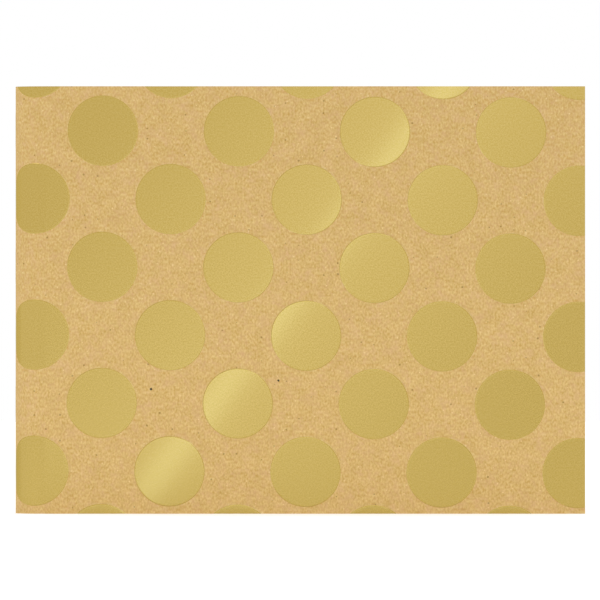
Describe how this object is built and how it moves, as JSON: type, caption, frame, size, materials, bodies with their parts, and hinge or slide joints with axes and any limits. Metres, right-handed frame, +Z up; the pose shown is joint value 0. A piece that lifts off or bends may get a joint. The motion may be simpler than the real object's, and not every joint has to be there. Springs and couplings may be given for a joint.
{
  "type": "wrapping paper roll",
  "caption": "Roll of dotted kraft gift wrap standing on end on a board core, with its free end drawn off sideways as a flat sheet; the roll turns in its outer lap.",
  "frame": {"origin": "on the axis of the core, in the plane of the end that the roll stands on", "axes": "+Z up along the axis of the core; +X along the drawn sheet, away from the roll; the sheet's printed face looks to -Y"},
  "size_m": [0.407, 0.0444, 0.305],
  "materials": {
    "kraft_paper": "matt, mottled, with a few dark fibre specks",
    "core_board": "matt grey-brown board",
    "tape": "satin, slightly yellowed",
    "gold_foil": "satin gold stamping foil"
  },
  "bodies": {
    "sheet": {"drawn_sheet": "kraft_paper", "sheet_foil_dots": "gold_foil", "lap_foil_dots": "gold_foil"},
    "roll": {"core_inner_ply": "core_board", "core_middle_ply": "core_board", "core_outer_ply": "core_board", "start_tape": "tape", "wound_paper": "kraft_paper"}
  },
  "joints": [
    {"name": "roll_turn", "type": "hinge", "parent": "sheet", "child": "roll", "pos_m": [0, 0, 0], "axis": [0, 0, 1], "continuous": true}
  ]
}
